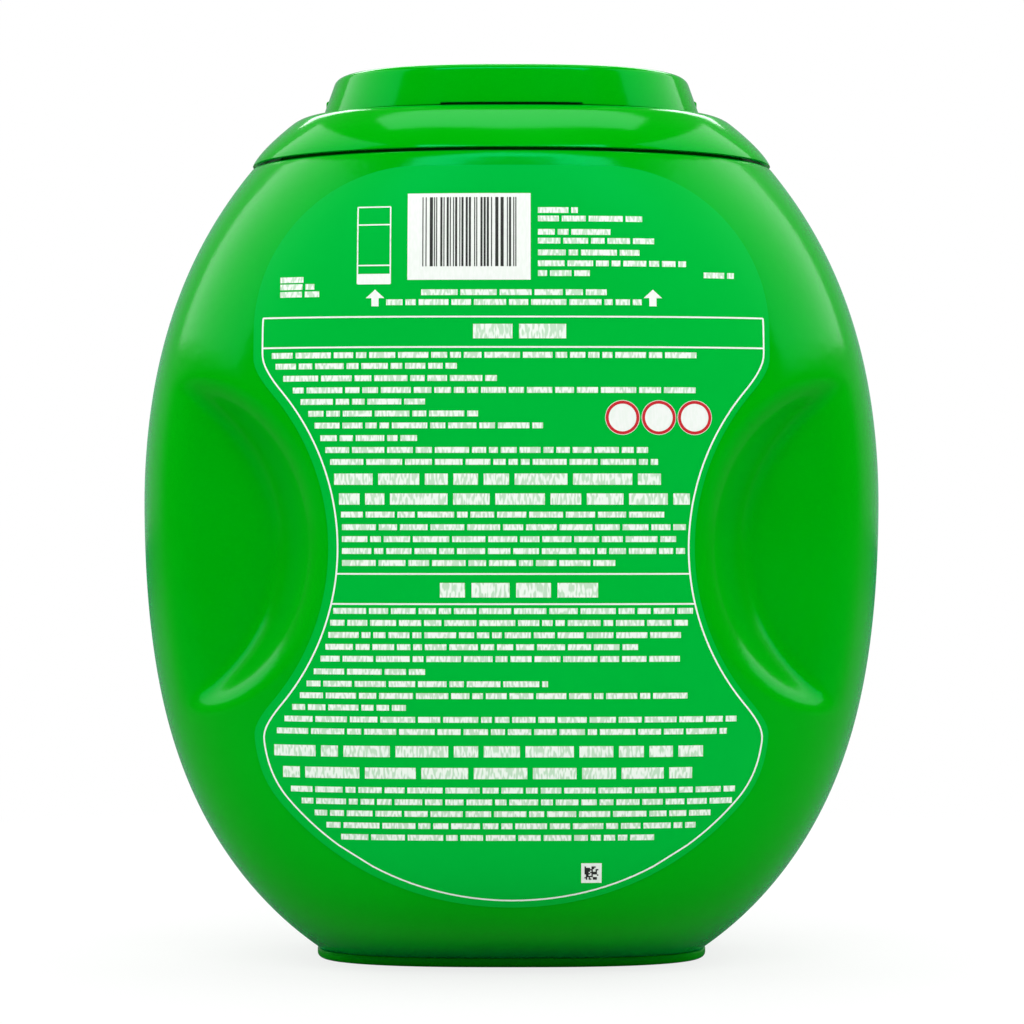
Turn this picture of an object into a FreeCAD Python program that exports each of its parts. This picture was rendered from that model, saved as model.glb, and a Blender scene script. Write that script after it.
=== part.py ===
import FreeCAD, Part
import math
import os

# Laundry pod tub: a wide flattened barrel with a push-fit collar and a flip-top lid.
# Origin at the middle of the foot, +Z up, labelled back with the hinge towards -Y.
# All lengths in millimetres, angles in degrees.

# Tub: the blown barrel
belly_half_width = 118.0
belly_half_depth = 79.0
belly_height = 147.0
foot_half_width = 62.2
foot_half_depth = 31.2
rim_half_width = 84.0
rim_half_depth = 70.0
rim_height = 254.5
tub_wall = 1.6
floor_thickness = 2.0
foot_squareness = 2.7
belly_squareness = 3.0
rim_squareness = 2.2

# Foot ring that the tub stands on
foot_ring_height = 3.0
foot_ring_proud = 0.8
foot_ring_round = 1.4
foot_top_round = 0.5
foot_hollow_depth = 1.6
foot_ring_width = 6.0
foot_overlap = 0.6

# Neck of the tub, inside the collar
neck_height = 7.5
neck_inset = 9.0
neck_wall = 1.8

# Four grip scoops, one in each quarter of the barrel
grip_axis_out = 127.0
grip_axis_height = 133.4
grip_floor_half_depth = 53.0
grip_root_radius = 56.0
grip_flare = 0.5
grip_root_round = 5.0
grip_lip_round = 6.0

# Label film on the back
label_thickness = 0.25
label_glue = 0.03
label_half_width = 78.7
label_top_height = 249.8
label_bottom_height = 23.3
label_bottom_radius = 100.4
label_waist_margin = 15.6
label_shoulder_round = 50.0
label_waist_round = 8.0
label_hip_round = 12.0

# Collar: domed ring pushed over the neck
collar_lift = 1.0
collar_height = 14.5
collar_top_half_width = 69.0
collar_top_half_depth = 57.5
collar_bow = 1.3
collar_crest_round = 2.0
collar_wall = 1.6
neck_clearance = 0.3
neck_ring_wall = 1.4

# Mouth in the collar
mouth_half_width = 49.0
mouth_half_depth = 43.0
mouth_squareness = 2.6
mouth_lip_wall = 1.5
mouth_lip_height = 9.5

# Lid: shallow cap with leaning walls
lid_half_width = 61.5
lid_half_depth = 55.0
lid_height = 12.8
lid_side_lean = 19.7
lid_end_lean = 8.0
lid_wall = 1.6
lid_edge_round = 1.6
lid_squareness = 2.6
running_gap = 0.3
finger_lip_half_width = 15.0
finger_lip_reach = 4.5
finger_lip_thickness = 1.6

# Hinge at the back of the lid
hinge_axis_inset = 2.1
hinge_axis_rise = 2.6
hinge_barrel_radius = 1.7
hinge_pin_radius = 0.8
hinge_web = 2.2
hinge_bore_clearance = 0.2
hinge_middle_half_width = 8.0
hinge_ear_width = 7.4
hinge_outer_width = 6.0
hinge_pin_seat = 1.0

# Squeeze tabs that free the lid
tab_half_width = 11.0
tab_height = 6.1
tab_inset = 1.75
tab_travel = 2.2
tab_block = 6.0
tab_edge_round = 0.8
tab_leaf_thickness = 1.2
tab_leaf_height = 9.7
tab_leaf_half_width = 6.0
tab_hook_thickness = 1.1
tab_hook_clearance = 0.4
tab_foot_half_width = 5.0
tab_foot_length = 2.0
tab_head_thickness = 1.0
tab_head_proud = 0.8

# Laundry pods in flat layers
pod_size = 40.0
pod_thickness = 20.0
pod_corner = 9.0
pod_crown_inset = 6.0
pod_gap = 0.4
pod_layers = 9

# How far cutting shapes pass what they cut
cut_spare = 1.0
grip_cut_spare = 10.0

# Heights and places that follow from the sizes above
neck_top = rim_height + neck_height
collar_foot = rim_height + collar_lift
landing_height = collar_foot + collar_height
lid_foot = landing_height + running_gap
lid_top = lid_foot + lid_height
hinge_y = -(lid_half_depth - hinge_axis_inset)
hinge_z = landing_height + hinge_axis_rise
tub_floor = foot_hollow_depth + floor_thickness
neck_half_width = rim_half_width - neck_inset
neck_half_depth = rim_half_depth - neck_inset
mouth_lip_top = landing_height + mouth_lip_height
hinge_half_width = hinge_middle_half_width + hinge_ear_width + 2 * running_gap + hinge_outer_width
label_waist_radius = grip_root_radius + label_waist_margin
tab_outer_face = lid_half_width - tab_inset
tab_foot_x = tab_outer_face - tab_block
lid_inner_lean = lid_wall / math.cos(math.radians(lid_side_lean))
tab_hook_tip = (lid_half_width - tab_leaf_height * math.tan(math.radians(lid_side_lean))
                - lid_inner_lean - tab_hook_clearance)
grip_places = [(sx, sy) for sx in (-1, 1) for sy in (-1, 1)]


def oval_point(half_width, half_depth, squareness, turn, z):
    c = math.cos(turn)
    s = math.sin(turn)
    size = (abs(c) ** squareness + abs(s) ** squareness) ** (-1.0 / squareness)
    return FreeCAD.Vector(half_width * c * size, half_depth * s * size, z)


def oval_curve(half_width, half_depth, squareness, z, corners=24):
    turns = [2 * math.pi * (i + 0.5) / corners for i in range(corners)]
    points = [oval_point(half_width, half_depth, squareness, t, z) for t in turns]
    knots = [i / corners for i in range(corners + 1)]
    curve = Part.BSplineCurve()
    curve.interpolate(Points=points, PeriodicFlag=True, Parameters=knots)
    return curve


def oval_wire(half_width, half_depth, squareness, z):
    return Part.Wire([oval_curve(half_width, half_depth, squareness, z).toShape()])


def skin(sections):
    # One smooth side through level ovals, each (half width, half depth, squareness, z), with flat ends
    curves = [oval_curve(*section) for section in sections]
    distances = [0.0]
    for low, high in zip(sections, sections[1:]):
        distances.append(distances[-1] + math.hypot(high[0] - low[0], high[1] - low[1], high[3] - low[3]))
    columns = []
    for poles in zip(*[curve.getPoles() for curve in curves]):
        column = Part.BSplineCurve()
        column.interpolate(Points=list(poles), Parameters=distances)
        columns.append(column)
    around = curves[0]
    upward = columns[0]
    surface = Part.BSplineSurface()
    surface.buildFromPolesMultsKnots([column.getPoles() for column in columns],
                                     around.getMultiplicities(), upward.getMultiplicities(),
                                     around.getKnots(), upward.getKnots(),
                                     True, False, around.Degree, upward.Degree)
    side = surface.toShape()
    ends = [edge for edge in side.Edges if not edge.isSeam(side)]
    caps = [Part.Face(Part.Wire([edge])) for edge in ends]
    shell = Part.Shell([side] + caps)
    shell.sewShape()
    return Part.Solid(shell)


def rounded_rim(section_at, heights, top, radius):
    # Sections up a side that ends in a rounded edge below a flat top
    sections = [section_at(z) + (z,) for z in heights]
    for step in range(5):
        angle = math.radians(90.0 * step / 4)
        z = top - radius + radius * math.sin(angle)
        half_width, half_depth, squareness = section_at(z)
        inset = radius * (1 - math.cos(angle))
        sections.append((half_width - inset, half_depth - inset, squareness, z))
    return sections


def oval_prism(half_width, half_depth, squareness, z_low, z_high):
    face = Part.Face(oval_wire(half_width, half_depth, squareness, z_low))
    return face.extrude(FreeCAD.Vector(0, 0, z_high - z_low))


def oval_tube(half_width, half_depth, wall, squareness, z_low, z_high):
    outside = oval_prism(half_width, half_depth, squareness, z_low, z_high)
    inside = oval_prism(half_width - wall, half_depth - wall, squareness, z_low, z_high)
    return outside.cut(inside)


def box(x_low, x_high, y_low, y_high, z_low, z_high):
    corner = FreeCAD.Vector(x_low, y_low, z_low)
    return Part.makeBox(x_high - x_low, y_high - y_low, z_high - z_low, corner)


def rod_along_x(radius, x_low, x_high, y, z):
    return Part.makeCylinder(radius, x_high - x_low, FreeCAD.Vector(x_low, y, z), FreeCAD.Vector(1, 0, 0))


def mirrored(shape):
    return shape.mirror(FreeCAD.Vector(0, 0, 0), FreeCAD.Vector(1, 0, 0))


def barrel_half_width(z):
    if z < belly_height:
        u = (belly_height - z) / (belly_height - foot_ring_height)
        return belly_half_width - (belly_half_width - foot_half_width) * (0.445 * u ** 2 + 0.555 * u ** 4)
    u = (z - belly_height) / (rim_height - belly_height)
    return belly_half_width - (belly_half_width - rim_half_width) * (0.75 * u ** 2 + 0.25 * u ** 4)


def barrel_half_depth(z):
    if z < belly_height:
        u = (belly_height - z) / (belly_height - foot_ring_height)
        return belly_half_depth - (belly_half_depth - foot_half_depth) * (0.2 * u ** 2 + 0.8 * u ** 12)
    u = (z - belly_height) / (rim_height - belly_height)
    return belly_half_depth - (belly_half_depth - rim_half_depth) * (0.6 * u ** 2 + 0.4 * u ** 4)


def barrel_squareness(z):
    if z < belly_height:
        u = (belly_height - z) / (belly_height - foot_ring_height)
        return belly_squareness + (foot_squareness - belly_squareness) * u ** 6
    u = (z - belly_height) / (rim_height - belly_height)
    return belly_squareness + (rim_squareness - belly_squareness) * u ** 3


def inward(half_size, z, depth):
    slope = (half_size(z + 0.5) - half_size(z - 0.5))
    return half_size(z) - depth * math.sqrt(1 + slope ** 2)


def barrel(depth, z_low, z_high):
    steps = [0.0, 0.012, 0.03, 0.06, 0.1, 0.17, 0.27, 0.4, 0.55, 0.7, 0.82, 0.92, 1.0]
    sections = []
    for step in steps:
        z = z_low + (z_high - z_low) * step
        half_width = inward(barrel_half_width, z, depth)
        half_depth = inward(barrel_half_depth, z, depth)
        sections.append((half_width, half_depth, barrel_squareness(z), z))
    return skin(sections)


def outer_barrel(proud):
    return barrel(-proud, foot_ring_height - foot_overlap, rim_height)


def grip_scoop(sx, sy, depth):
    floor = grip_floor_half_depth - depth
    reach = belly_half_depth - floor + grip_cut_spare
    root = grip_root_radius + depth
    mouth = root + grip_flare * reach
    base = FreeCAD.Vector(sx * grip_axis_out, sy * floor, grip_axis_height)
    cone = Part.makeCone(root, mouth, reach, base, FreeCAD.Vector(0, sy, 0))
    root_edges = [e for e in cone.Edges if abs(e.CenterOfMass.y - sy * floor) < 0.01]
    root_edges = [e for e in root_edges if isinstance(e.Curve, Part.Circle)]
    return cone.makeFillet(grip_root_round + depth, root_edges)


def lip_edges(shape):
    found = []
    for edge in shape.Edges:
        middle = edge.valueAt((edge.FirstParameter + edge.LastParameter) / 2)
        out = abs(abs(middle.x) - grip_axis_out)
        reach = math.hypot(out, middle.z - grip_axis_height)
        on_lip = reach > grip_root_radius + 0.5 and abs(middle.y) > grip_floor_half_depth + grip_root_round
        near_grip = reach < grip_root_radius + grip_flare * belly_half_depth
        if on_lip and near_grip and abs(middle.x) < belly_half_width:
            found.append(edge)
    return found


def is_upright(edge):
    return abs(edge.Vertexes[0].Z - edge.Vertexes[-1].Z) > 0.1


def foot_ring():
    def upright(z):
        return foot_half_width + foot_ring_proud, foot_half_depth + foot_ring_proud, foot_squareness

    heel = rounded_rim(upright, [], foot_ring_height, foot_ring_round)
    heel = [(wide, deep, square, foot_ring_height - z) for wide, deep, square, z in heel]
    rim = rounded_rim(upright, [], foot_ring_height, foot_top_round)
    ring = skin(heel[::-1] + rim)
    hollow_x = foot_half_width + foot_ring_proud - foot_ring_width
    hollow_y = foot_half_depth + foot_ring_proud - foot_ring_width
    return ring.cut(oval_prism(hollow_x, hollow_y, foot_squareness, -cut_spare, foot_hollow_depth))


def make_tub():
    outside = outer_barrel(0)
    for sx, sy in grip_places:
        outside = outside.cut(grip_scoop(sx, sy, 0))
    outside = outside.makeFillet(grip_lip_round, lip_edges(outside))
    inside = barrel(tub_wall, tub_floor, rim_height - tub_wall)
    for sx, sy in grip_places:
        inside = inside.cut(grip_scoop(sx, sy, tub_wall))
    neck = oval_prism(neck_half_width, neck_half_depth, rim_squareness, rim_height - tub_wall, neck_top)
    bore_x = neck_half_width - neck_wall
    bore_y = neck_half_depth - neck_wall
    bore = oval_prism(bore_x, bore_y, rim_squareness, rim_height - 2 * tub_wall, neck_top + cut_spare)
    return outside.fuse(neck).fuse(foot_ring()).cut(inside).cut(bore)


def label_outline():
    # A block with the label's outline, which the film is cut out of
    near = -belly_half_depth - grip_cut_spare
    far = -grip_floor_half_depth + grip_cut_spare
    bend = label_bottom_height + label_bottom_radius
    top = box(-label_half_width, label_half_width, near, far, bend, label_top_height)
    low = box(-label_half_width, label_half_width, near, far, label_bottom_height, bend)
    centre = FreeCAD.Vector(0, near, bend)
    low = low.common(Part.makeCylinder(label_bottom_radius, far - near, centre, FreeCAD.Vector(0, 1, 0)))
    block = top.fuse(low)
    for sx in (-1, 1):
        centre = FreeCAD.Vector(sx * grip_axis_out, near, grip_axis_height)
        block = block.cut(Part.makeCylinder(label_waist_radius, far - near, centre, FreeCAD.Vector(0, 1, 0)))
    block = block.removeSplitter()
    hip = bend - math.sqrt(label_bottom_radius ** 2 - label_half_width ** 2)
    waist = math.sqrt(label_waist_radius ** 2 - (grip_axis_out - label_half_width) ** 2)
    side = label_half_width
    corners = [(side, label_top_height, label_shoulder_round)]
    if hip < grip_axis_height - waist:
        corners.append((side, hip, label_hip_round))
    corners.append((side, grip_axis_height + waist, label_waist_round))
    if hip < grip_axis_height - waist:
        corners.append((side, grip_axis_height - waist, label_waist_round))
    else:
        corners.append(arcs_cross(bend) + (label_hip_round,))
    for x, z, radius in corners:
        edges = [e for e in block.Edges if is_corner(e, x, z)]
        block = block.makeFillet(radius, edges)
    return block


def arcs_cross(bend):
    # Where the bottom arc runs straight into a waist arc, on a label too wide to have a side there
    apart = math.hypot(grip_axis_out, grip_axis_height - bend)
    along = (label_bottom_radius ** 2 - label_waist_radius ** 2 + apart ** 2) / (2 * apart)
    aside = math.sqrt(label_bottom_radius ** 2 - along ** 2)
    run = grip_axis_out / apart
    rise = (grip_axis_height - bend) / apart
    return along * run + aside * rise, bend + along * rise - aside * run


def is_corner(edge, x, z):
    middle = edge.CenterOfMass
    lengthwise = abs(edge.Vertexes[0].Y - edge.Vertexes[-1].Y) > 1
    return lengthwise and abs(abs(middle.x) - x) < 0.01 and abs(middle.z - z) < 0.01


def make_label():
    film = outer_barrel(label_thickness).common(label_outline())
    return film.cut(outer_barrel(label_glue))


def collar_section(z):
    rise = max(0.0, (z - collar_foot) / collar_height)
    turn_in = rise ** collar_bow
    half_width = rim_half_width - (rim_half_width - collar_top_half_width) * turn_in
    half_depth = rim_half_depth - (rim_half_depth - collar_top_half_depth) * turn_in
    squareness = rim_squareness + (mouth_squareness - rim_squareness) * min(1.0, rise)
    return half_width, half_depth, squareness


def collar_dome():
    rest = landing_height - collar_crest_round - collar_foot
    heights = [collar_foot + rest * step for step in (0.0, 0.2, 0.4, 0.6, 0.8, 0.95)]
    return skin(rounded_rim(collar_section, heights, landing_height, collar_crest_round))


def collar_hollow():
    # The room under the dome, one wall in from the outside
    def inner_section(z):
        half_width, half_depth, squareness = collar_section(z + collar_wall / 2)
        return half_width - collar_wall, half_depth - collar_wall, squareness

    top = landing_height - collar_wall
    foot = collar_foot - cut_spare
    heights = [foot + (top - collar_crest_round - foot) * step for step in (0.0, 0.25, 0.5, 0.75, 0.95)]
    return skin(rounded_rim(inner_section, heights, top, collar_crest_round))


def neck_ring():
    # Skirt round the neck, with a ledge that rests on the neck's top
    outer_x = neck_half_width + neck_clearance + neck_ring_wall
    outer_y = neck_half_depth + neck_clearance + neck_ring_wall
    skirt_wall = neck_ring_wall
    ledge_wall = neck_ring_wall + neck_clearance + neck_wall
    skirt_foot = collar_foot + running_gap
    skirt = oval_tube(outer_x, outer_y, skirt_wall, rim_squareness, skirt_foot, neck_top)
    ledge = oval_tube(outer_x, outer_y, ledge_wall, rim_squareness, neck_top, landing_height)
    return skirt.fuse(ledge)


def hinge_ears():
    start = hinge_middle_half_width + running_gap
    bored = hinge_pin_radius + hinge_bore_clearance
    ears = []
    for sx in (-1, 1):
        x_low = min(sx * start, sx * (start + hinge_ear_width))
        x_high = x_low + hinge_ear_width
        web_foot = landing_height - collar_wall / 2
        web = box(x_low, x_high, hinge_y - hinge_web / 2, hinge_y + hinge_web / 2, web_foot, hinge_z)
        ear = rod_along_x(hinge_barrel_radius, x_low, x_high, hinge_y, hinge_z).fuse(web)
        ears.append(ear.cut(rod_along_x(bored, x_low - cut_spare, x_high + cut_spare, hinge_y, hinge_z)))
    return ears


def tab_slot():
    x_low = tab_foot_x - tab_travel - running_gap
    x_high = tab_foot_x + tab_foot_length + running_gap
    half = tab_foot_half_width + running_gap
    return box(x_low, x_high, -half, half, landing_height - 2 * collar_wall, landing_height + cut_spare)


def make_collar():
    dome = collar_dome()
    shell = dome.cut(collar_hollow()).fuse(neck_ring().common(dome))
    lip_x = mouth_half_width + mouth_lip_wall
    lip_y = mouth_half_depth + mouth_lip_wall
    lip = oval_prism(lip_x, lip_y, mouth_squareness, landing_height - collar_wall, mouth_lip_top)
    hole = oval_prism(mouth_half_width, mouth_half_depth, mouth_squareness, collar_foot, mouth_lip_top + cut_spare)
    shell = shell.fuse(lip).cut(hole)
    for ear in hinge_ears():
        shell = shell.fuse(ear)
    return shell.cut(tab_slot()).cut(mirrored(tab_slot()))


def lid_form(z_low, z_high, side_wall, end_wall, edge_round):
    side_lean = math.tan(math.radians(lid_side_lean))
    end_lean = math.tan(math.radians(lid_end_lean))

    def leaning(z):
        half_width = lid_half_width - (z - lid_foot) * side_lean - side_wall
        half_depth = lid_half_depth - (z - lid_foot) * end_lean - end_wall
        return half_width, half_depth, lid_squareness

    heights = [z_low + (z_high - edge_round - z_low) * step for step in (0.0, 0.3, 0.6, 0.85, 0.97)]
    return skin(rounded_rim(leaning, heights, z_high, edge_round))


def finger_lip():
    z_low = lid_foot + finger_lip_thickness / 2
    y_high = lid_half_depth + finger_lip_reach
    half = finger_lip_half_width
    plate = box(-half, half, lid_half_depth - 2 * lid_wall, y_high, z_low, z_low + finger_lip_thickness)
    corners = [e for e in plate.Edges if is_upright(e) and e.CenterOfMass.y > lid_half_depth]
    return plate.makeFillet(finger_lip_reach * 0.8, corners)


def make_lid():
    shell = lid_form(lid_foot, lid_top, 0, 0, lid_edge_round)
    shell = shell.fuse(finger_lip())
    side_wall = lid_wall / math.cos(math.radians(lid_side_lean))
    end_wall = lid_wall / math.cos(math.radians(lid_end_lean))
    shell = shell.cut(lid_form(lid_foot - cut_spare, lid_top - lid_wall, side_wall, end_wall, lid_edge_round / 2))
    bead_x = mouth_half_width + mouth_lip_wall
    bead_y = mouth_half_depth + mouth_lip_wall
    bead_foot = mouth_lip_top + running_gap
    bead = oval_tube(bead_x, bead_y, mouth_lip_wall, mouth_squareness, bead_foot, lid_top - lid_wall / 2)
    shell = shell.fuse(bead)
    outside = -lid_half_depth - cut_spare
    inside = hinge_y + hinge_barrel_radius + running_gap
    window = box(-hinge_half_width, hinge_half_width, outside, inside, lid_foot - cut_spare, hinge_z)
    shell = shell.cut(window)
    barrel_rod = rod_along_x(hinge_barrel_radius, -hinge_half_width, hinge_half_width, hinge_y, hinge_z)
    shell = shell.fuse(barrel_rod)
    start = hinge_middle_half_width
    end = start + hinge_ear_width + 2 * running_gap
    ear_top = hinge_z + hinge_barrel_radius + running_gap
    ear_room = box(start, end, outside, inside, lid_foot - cut_spare, ear_top)
    shell = shell.cut(ear_room).cut(mirrored(ear_room))
    pin_end = end + hinge_pin_seat
    shell = shell.fuse(rod_along_x(hinge_pin_radius, -pin_end, pin_end, hinge_y, hinge_z))
    half = tab_half_width + running_gap
    tab_room = box(tab_outer_face - tab_block, lid_half_width + cut_spare, -half, half,
                   lid_foot - cut_spare, lid_foot + tab_height + running_gap)
    return shell.cut(tab_room).cut(mirrored(tab_room))


def make_squeeze_tab():
    # The tab on the right: a button in the lid's notch, a hooked leaf inside, a foot through the collar
    inner = tab_outer_face - tab_block
    block = box(inner, tab_outer_face, -tab_half_width, tab_half_width, lid_foot, lid_foot + tab_height)
    shown = [e for e in block.Edges if e.BoundBox.XMin > tab_outer_face - 0.01]
    shown = [e for e in shown if e.CenterOfMass.z > lid_foot + 0.1]
    block = block.makeFillet(tab_edge_round, shown)
    half = tab_leaf_half_width
    leaf_top = lid_foot + tab_leaf_height
    leaf = box(inner, inner + tab_leaf_thickness, -half, half, lid_foot, leaf_top)
    hook = box(inner, tab_hook_tip, -half, half, leaf_top - tab_hook_thickness, leaf_top)
    foot_half = tab_foot_half_width
    head_top = landing_height - collar_wall - running_gap
    foot_end = tab_foot_x + tab_foot_length
    foot = box(tab_foot_x, foot_end, -foot_half, foot_half, head_top, lid_foot)
    head_half = foot_half + tab_head_proud
    head = box(tab_foot_x, foot_end, -head_half, head_half, head_top - tab_head_thickness, head_top)
    return block.fuse(leaf).fuse(hook).fuse(foot).fuse(head)


def pod_outline(size, corner, x, y, z):
    half = size / 2
    flat = half - corner
    outline = [(half, -flat), (half, flat), (flat, half), (-flat, half)]
    outline += [(-half, flat), (-half, -flat), (-flat, -half), (flat, -half)]
    return [FreeCAD.Vector(x + dx, y + dy, z) for dx, dy in outline]


def flat_face(corners):
    return Part.Face(Part.makePolygon(corners + corners[:1]))


def make_pod(x, y, z):
    crown = pod_size - 2 * pod_crown_inset
    crown_corner = pod_corner * crown / pod_size
    low = pod_outline(crown, crown_corner, x, y, z)
    seal = pod_outline(pod_size, pod_corner, x, y, z + pod_thickness / 2)
    high = pod_outline(crown, crown_corner, x, y, z + pod_thickness)
    faces = [flat_face(low), flat_face(high)]
    for under, over in ((low, seal), (seal, high)):
        for i in range(len(low)):
            faces.append(flat_face([under[i - 1], under[i], over[i], over[i - 1]]))
    shell = Part.Shell(faces)
    shell.sewShape()
    pod = Part.Solid(shell)
    if pod.Volume < 0:
        pod.reverse()
    return pod


def inside_barrel(x, y, z):
    half_width = inward(barrel_half_width, z, tub_wall + pod_gap)
    half_depth = inward(barrel_half_depth, z, tub_wall + pod_gap)
    square = barrel_squareness(z)
    return (x / half_width) ** square + (y / half_depth) ** square < 1


def pod_fits(x, y, z):
    # True where a pod at this place is clear of the tub's wall and of the grips
    reach_x = abs(x) + pod_size / 2
    reach_y = abs(y) + pod_size / 2
    middle = z + pod_thickness / 2
    for up in (z, middle, z + pod_thickness):
        inset = 0.0 if up == middle else pod_crown_inset
        side_x = reach_x - inset
        side_y = reach_y - inset
        if not inside_barrel(side_x, side_y - pod_corner, up):
            return False
        if not inside_barrel(side_x - pod_corner, side_y, up):
            return False
    past_floor = reach_y - (grip_floor_half_depth - tub_wall - pod_gap)
    if past_floor <= 0:
        return True
    drop = max(0.0, abs(middle - grip_axis_height) - pod_thickness / 2)
    from_axis = math.hypot(grip_axis_out - reach_x, drop)
    return from_axis > grip_root_radius + tub_wall + pod_gap + grip_flare * past_floor


def make_pod_layer(level):
    pitch = pod_size + pod_gap
    z = tub_floor + pod_gap + level * (pod_thickness + pod_gap)
    shift = pitch / 2 if level % 2 else 0.0
    pods = []
    for row in (-1, 0, 1):
        for place in range(-4, 4):
            x = place * pitch + shift
            y = row * pitch
            if pod_fits(x, y, z):
                pods.append(make_pod(x, y, z))
    return Part.Compound(pods)


def make_all():
    tab = make_squeeze_tab()
    nodes = [("tub", make_tub()), ("collar", make_collar()), ("lid", make_lid())]
    nodes += [("squeeze_tab_right", tab), ("squeeze_tab_left", mirrored(tab))]
    nodes += [("back_label", make_label())]
    nodes += [("pod_layer_" + str(level + 1), make_pod_layer(level)) for level in range(pod_layers)]
    return nodes


os.makedirs("parts", exist_ok=True)
for name, shape in make_all():
    print(name, shape.isValid(), len(shape.Solids), round(shape.Volume), shape.BoundBox)
    shape.exportStep("parts/" + name + ".step")
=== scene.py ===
import math
import random
import bpy
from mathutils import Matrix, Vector


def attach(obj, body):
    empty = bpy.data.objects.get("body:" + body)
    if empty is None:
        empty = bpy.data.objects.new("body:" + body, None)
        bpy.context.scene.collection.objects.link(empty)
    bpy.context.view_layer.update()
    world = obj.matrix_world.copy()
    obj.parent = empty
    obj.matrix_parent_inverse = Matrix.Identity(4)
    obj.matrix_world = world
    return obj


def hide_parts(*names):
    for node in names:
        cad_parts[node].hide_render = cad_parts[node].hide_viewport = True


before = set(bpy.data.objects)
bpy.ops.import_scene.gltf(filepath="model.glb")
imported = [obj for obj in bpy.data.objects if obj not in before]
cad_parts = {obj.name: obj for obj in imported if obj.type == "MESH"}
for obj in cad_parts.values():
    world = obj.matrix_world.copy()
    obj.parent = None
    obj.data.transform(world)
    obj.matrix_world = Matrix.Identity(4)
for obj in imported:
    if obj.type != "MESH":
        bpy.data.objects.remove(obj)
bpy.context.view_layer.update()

# ROOM
# A pale seamless floor with soft boxes all round and above, as for a
# catalogue picture of a packed good. Nothing here belongs to the tub.
floor_reach = 6.0
floor_mesh = bpy.data.meshes.new("studio_floor")
floor_mesh.from_pydata([(-floor_reach, -floor_reach, 0), (floor_reach, -floor_reach, 0),
                        (floor_reach, floor_reach, 0), (-floor_reach, floor_reach, 0)], [], [(0, 1, 2, 3)])
floor = bpy.data.objects.new("studio_floor", floor_mesh)
bpy.context.scene.collection.objects.link(floor)


def new_material(name):
    material = bpy.data.materials.new(name)
    material.use_nodes = True
    material.node_tree.nodes.clear()
    return material, material.node_tree.nodes, material.node_tree.links


paper, nodes, links = new_material("studio_paper")
out = nodes.new("ShaderNodeOutputMaterial")
sheet = nodes.new("ShaderNodeBsdfDiffuse")
shade = nodes.new("ShaderNodeMix")
shade.data_type = "RGBA"
shade.inputs["A"].default_value = (0.68, 0.68, 0.68, 1)
shade.inputs["B"].default_value = (0.85, 0.85, 0.85, 1)
mirrored = nodes.new("ShaderNodeMix")
mirrored.data_type = "RGBA"
mirrored.inputs["B"].default_value = (0.15, 0.15, 0.15, 1)
glow = nodes.new("ShaderNodeEmission")
glow = nodes.new("ShaderNodeEmission")
seen = nodes.new("ShaderNodeLightPath")
spot = nodes.new("ShaderNodeTexCoord")
far = nodes.new("ShaderNodeVectorMath")
far.operation = "LENGTH"
fade = nodes.new("ShaderNodeMapRange")
fade.inputs["From Min"].default_value = 0.15
fade.inputs["From Max"].default_value = 0.5
fade.inputs["To Min"].default_value = 0.8
fade.inputs["To Max"].default_value = 1.0
share = nodes.new("ShaderNodeMath")
share.operation = "MULTIPLY"
mix = nodes.new("ShaderNodeMixShader")
links.new(spot.outputs["Object"], far.inputs[0])
links.new(far.outputs["Value"], fade.inputs["Value"])
links.new(fade.outputs["Result"], share.inputs[1])
links.new(seen.outputs["Is Camera Ray"], share.inputs[0])
links.new(seen.outputs["Is Camera Ray"], shade.inputs["Factor"])
links.new(seen.outputs["Is Glossy Ray"], mirrored.inputs["Factor"])
links.new(shade.outputs["Result"], mirrored.inputs["A"])
links.new(mirrored.outputs["Result"], sheet.inputs["Color"])
links.new(share.outputs[0], mix.inputs[0])
links.new(sheet.outputs[0], mix.inputs[1])
links.new(glow.outputs[0], mix.inputs[2])
links.new(mix.outputs[0], out.inputs["Surface"])
floor_mesh.materials.append(paper)

room = bpy.data.worlds.new("studio_room")
bpy.context.scene.world = room
room.use_nodes = True
nodes, links = room.node_tree.nodes, room.node_tree.links
nodes.clear()
out = nodes.new("ShaderNodeOutputWorld")
walls = nodes.new("ShaderNodeBackground")
walls.inputs["Color"].default_value = (0.42, 0.42, 0.42, 1)
white = nodes.new("ShaderNodeBackground")
white.inputs["Color"].default_value = (1, 1, 1, 1)
sheen_side = nodes.new("ShaderNodeBackground")
sheen_side.inputs["Color"].default_value = (1, 1, 1, 1)
way = nodes.new("ShaderNodeTexCoord")
parts = nodes.new("ShaderNodeSeparateXYZ")
behind = nodes.new("ShaderNodeMapRange")
behind.inputs["From Min"].default_value = 0.1
behind.inputs["From Max"].default_value = 0.8
behind.inputs["To Min"].default_value = 0.04
behind.inputs["To Max"].default_value = 0.3
seen = nodes.new("ShaderNodeLightPath")
gloss_mix = nodes.new("ShaderNodeMixShader")
mix = nodes.new("ShaderNodeMixShader")
links.new(way.outputs["Generated"], parts.inputs[0])
links.new(parts.outputs["Y"], behind.inputs["Value"])
links.new(behind.outputs["Result"], sheen_side.inputs["Strength"])
links.new(seen.outputs["Is Glossy Ray"], gloss_mix.inputs[0])
links.new(walls.outputs[0], gloss_mix.inputs[1])
links.new(sheen_side.outputs[0], gloss_mix.inputs[2])
links.new(seen.outputs["Is Camera Ray"], mix.inputs[0])
links.new(gloss_mix.outputs[0], mix.inputs[1])
links.new(white.outputs[0], mix.inputs[2])
links.new(mix.outputs[0], out.inputs["Surface"])

tub_middle = (0, 0, 0.15)


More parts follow.
